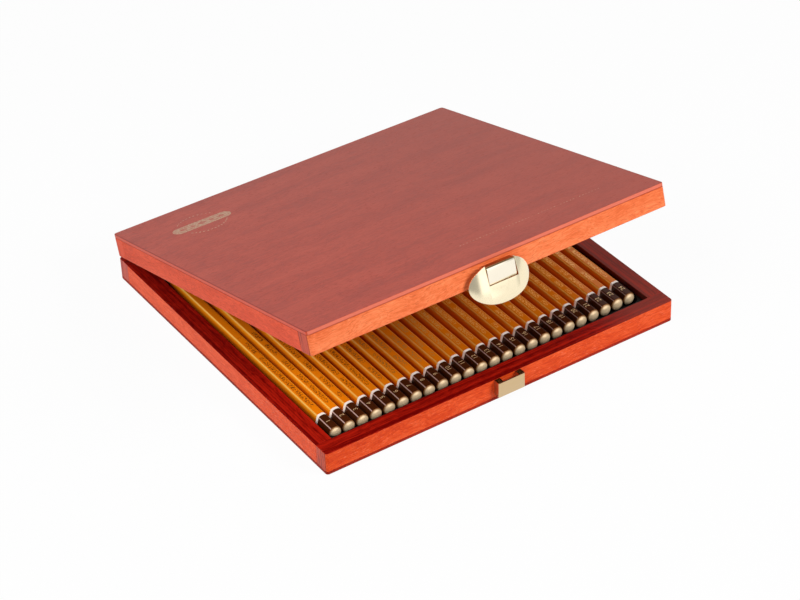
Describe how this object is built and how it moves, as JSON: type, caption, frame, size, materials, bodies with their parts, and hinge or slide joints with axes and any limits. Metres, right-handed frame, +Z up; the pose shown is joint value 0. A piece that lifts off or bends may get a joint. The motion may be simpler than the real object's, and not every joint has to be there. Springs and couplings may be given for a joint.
{
  "type": "wooden pencil case",
  "caption": "Flat hinged wooden case with a brass snap catch, holding a row of hexagonal pencils in a formed tray.",
  "frame": {"origin": "centre of the base's underside", "axes": "+Z up, +Y towards the hinges at the back, +X to the right when the catch faces the viewer"},
  "size_m": [0.212, 0.2125, 0.0797],
  "materials": {
    "stained_wood": "mahogany stain, satin lacquer",
    "black_plastic": "formed sheet, low gloss",
    "pencil_lacquer": "gloss lacquer",
    "latch_brass": "pale brass plate, satin",
    "brass_fasteners": "plated"
  },
  "bodies": {
    "base": {"base_front_rail": "stained_wood", "base_back_rail": "stained_wood", "base_left_rail": "stained_wood", "base_right_rail": "stained_wood", "base_panel": "stained_wood", "pencil_tray": "black_plastic", "keeper": "latch_brass", "hinge_base_screws": "brass_fasteners", "left_hinge_base_leaf": "latch_brass", "right_hinge_base_leaf": "latch_brass", "left_hinge_pin": "brass_fasteners", "right_hinge_pin": "brass_fasteners"},
    "lid": {"lid_front_rail": "stained_wood", "lid_back_rail": "stained_wood", "lid_left_rail": "stained_wood", "lid_right_rail": "stained_wood", "lid_panel": "stained_wood", "latch_bracket": "latch_brass", "latch_nails": "brass_fasteners", "latch_pin": "brass_fasteners", "hinge_lid_screws": "brass_fasteners", "left_hinge_lid_leaf": "latch_brass", "right_hinge_lid_leaf": "latch_brass"},
    "latch": {"latch_flap": "latch_brass"},
    "pencil_01": {"pencil_01": "pencil_lacquer"},
    "pencil_02": {"pencil_02": "pencil_lacquer"},
    "pencil_03": {"pencil_03": "pencil_lacquer"},
    "pencil_04": {"pencil_04": "pencil_lacquer"},
    "pencil_05": {"pencil_05": "pencil_lacquer"},
    "pencil_06": {"pencil_06": "pencil_lacquer"},
    "pencil_07": {"pencil_07": "pencil_lacquer"},
    "pencil_08": {"pencil_08": "pencil_lacquer"},
    "pencil_09": {"pencil_09": "pencil_lacquer"},
    "pencil_10": {"pencil_10": "pencil_lacquer"},
    "pencil_11": {"pencil_11": "pencil_lacquer"},
    "pencil_12": {"pencil_12": "pencil_lacquer"},
    "pencil_13": {"pencil_13": "pencil_lacquer"},
    "pencil_14": {"pencil_14": "pencil_lacquer"},
    "pencil_15": {"pencil_15": "pencil_lacquer"},
    "pencil_16": {"pencil_16": "pencil_lacquer"},
    "pencil_17": {"pencil_17": "pencil_lacquer"},
    "pencil_18": {"pencil_18": "pencil_lacquer"},
    "pencil_19": {"pencil_19": "pencil_lacquer"},
    "pencil_20": {"pencil_20": "pencil_lacquer"},
    "pencil_21": {"pencil_21": "pencil_lacquer"},
    "pencil_22": {"pencil_22": "pencil_lacquer"},
    "pencil_23": {"pencil_23": "pencil_lacquer"},
    "pencil_24": {"pencil_24": "pencil_lacquer"}
  },
  "joints": [
    {"name": "lid_hinge", "type": "hinge", "parent": "base", "child": "lid", "pos_m": [0, 0.1037, 0.01335], "axis": [-1, 0, 0], "range_deg": [-15.1, 164.9]},
    {"name": "latch_hinge", "type": "hinge", "parent": "lid", "child": "latch", "pos_m": [0.0011, -0.09601, 0.07547], "axis": [-1, 0, 0], "range_deg": [-8, 82]},
    {"name": "pencil_01_lift", "type": "slide", "parent": "base", "child": "pencil_01", "axis": [0, -0.2419, 0.9703], "range_m": [0, 0.02]},
    {"name": "pencil_02_lift", "type": "slide", "parent": "base", "child": "pencil_02", "axis": [0, -0.2419, 0.9703], "range_m": [0, 0.02]},
    {"name": "pencil_03_lift", "type": "slide", "parent": "base", "child": "pencil_03", "axis": [0, -0.2419, 0.9703], "range_m": [0, 0.02]},
    {"name": "pencil_04_lift", "type": "slide", "parent": "base", "child": "pencil_04", "axis": [0, -0.2419, 0.9703], "range_m": [0, 0.02]},
    {"name": "pencil_05_lift", "type": "slide", "parent": "base", "child": "pencil_05", "axis": [0, -0.2419, 0.9703], "range_m": [0, 0.02]},
    {"name": "pencil_06_lift", "type": "slide", "parent": "base", "child": "pencil_06", "axis": [0, -0.2419, 0.9703], "range_m": [0, 0.02]},
    {"name": "pencil_07_lift", "type": "slide", "parent": "base", "child": "pencil_07", "axis": [0, -0.2419, 0.9703], "range_m": [0, 0.02]},
    {"name": "pencil_08_lift", "type": "slide", "parent": "base", "child": "pencil_08", "axis": [0, -0.2419, 0.9703], "range_m": [0, 0.02]},
    {"name": "pencil_09_lift", "type": "slide", "parent": "base", "child": "pencil_09", "axis": [0, -0.2419, 0.9703], "range_m": [0, 0.02]},
    {"name": "pencil_10_lift", "type": "slide", "parent": "base", "child": "pencil_10", "axis": [0, -0.2419, 0.9703], "range_m": [0, 0.02]},
    {"name": "pencil_11_lift", "type": "slide", "parent": "base", "child": "pencil_11", "axis": [0, -0.2419, 0.9703], "range_m": [0, 0.02]},
    {"name": "pencil_12_lift", "type": "slide", "parent": "base", "child": "pencil_12", "axis": [0, -0.2419, 0.9703], "range_m": [0, 0.02]},
    {"name": "pencil_13_lift", "type": "slide", "parent": "base", "child": "pencil_13", "axis": [0, -0.2419, 0.9703], "range_m": [0, 0.02]},
    {"name": "pencil_14_lift", "type": "slide", "parent": "base", "child": "pencil_14", "axis": [0, -0.2419, 0.9703], "range_m": [0, 0.02]},
    {"name": "pencil_15_lift", "type": "slide", "parent": "base", "child": "pencil_15", "axis": [0, -0.2419, 0.9703], "range_m": [0, 0.02]},
    {"name": "pencil_16_lift", "type": "slide", "parent": "base", "child": "pencil_16", "axis": [0, -0.2419, 0.9703], "range_m": [0, 0.02]},
    {"name": "pencil_17_lift", "type": "slide", "parent": "base", "child": "pencil_17", "axis": [0, -0.2419, 0.9703], "range_m": [0, 0.02]},
    {"name": "pencil_18_lift", "type": "slide", "parent": "base", "child": "pencil_18", "axis": [0, -0.2419, 0.9703], "range_m": [0, 0.02]},
    {"name": "pencil_19_lift", "type": "slide", "parent": "base", "child": "pencil_19", "axis": [0, -0.2419, 0.9703], "range_m": [0, 0.02]},
    {"name": "pencil_20_lift", "type": "slide", "parent": "base", "child": "pencil_20", "axis": [0, -0.2419, 0.9703], "range_m": [0, 0.02]},
    {"name": "pencil_21_lift", "type": "slide", "parent": "base", "child": "pencil_21", "axis": [0, -0.2419, 0.9703], "range_m": [0, 0.02]},
    {"name": "pencil_22_lift", "type": "slide", "parent": "base", "child": "pencil_22", "axis": [0, -0.2419, 0.9703], "range_m": [0, 0.02]},
    {"name": "pencil_23_lift", "type": "slide", "parent": "base", "child": "pencil_23", "axis": [0, -0.2419, 0.9703], "range_m": [0, 0.02]},
    {"name": "pencil_24_lift", "type": "slide", "parent": "base", "child": "pencil_24", "axis": [0, -0.2419, 0.9703], "range_m": [0, 0.02]}
  ]
}
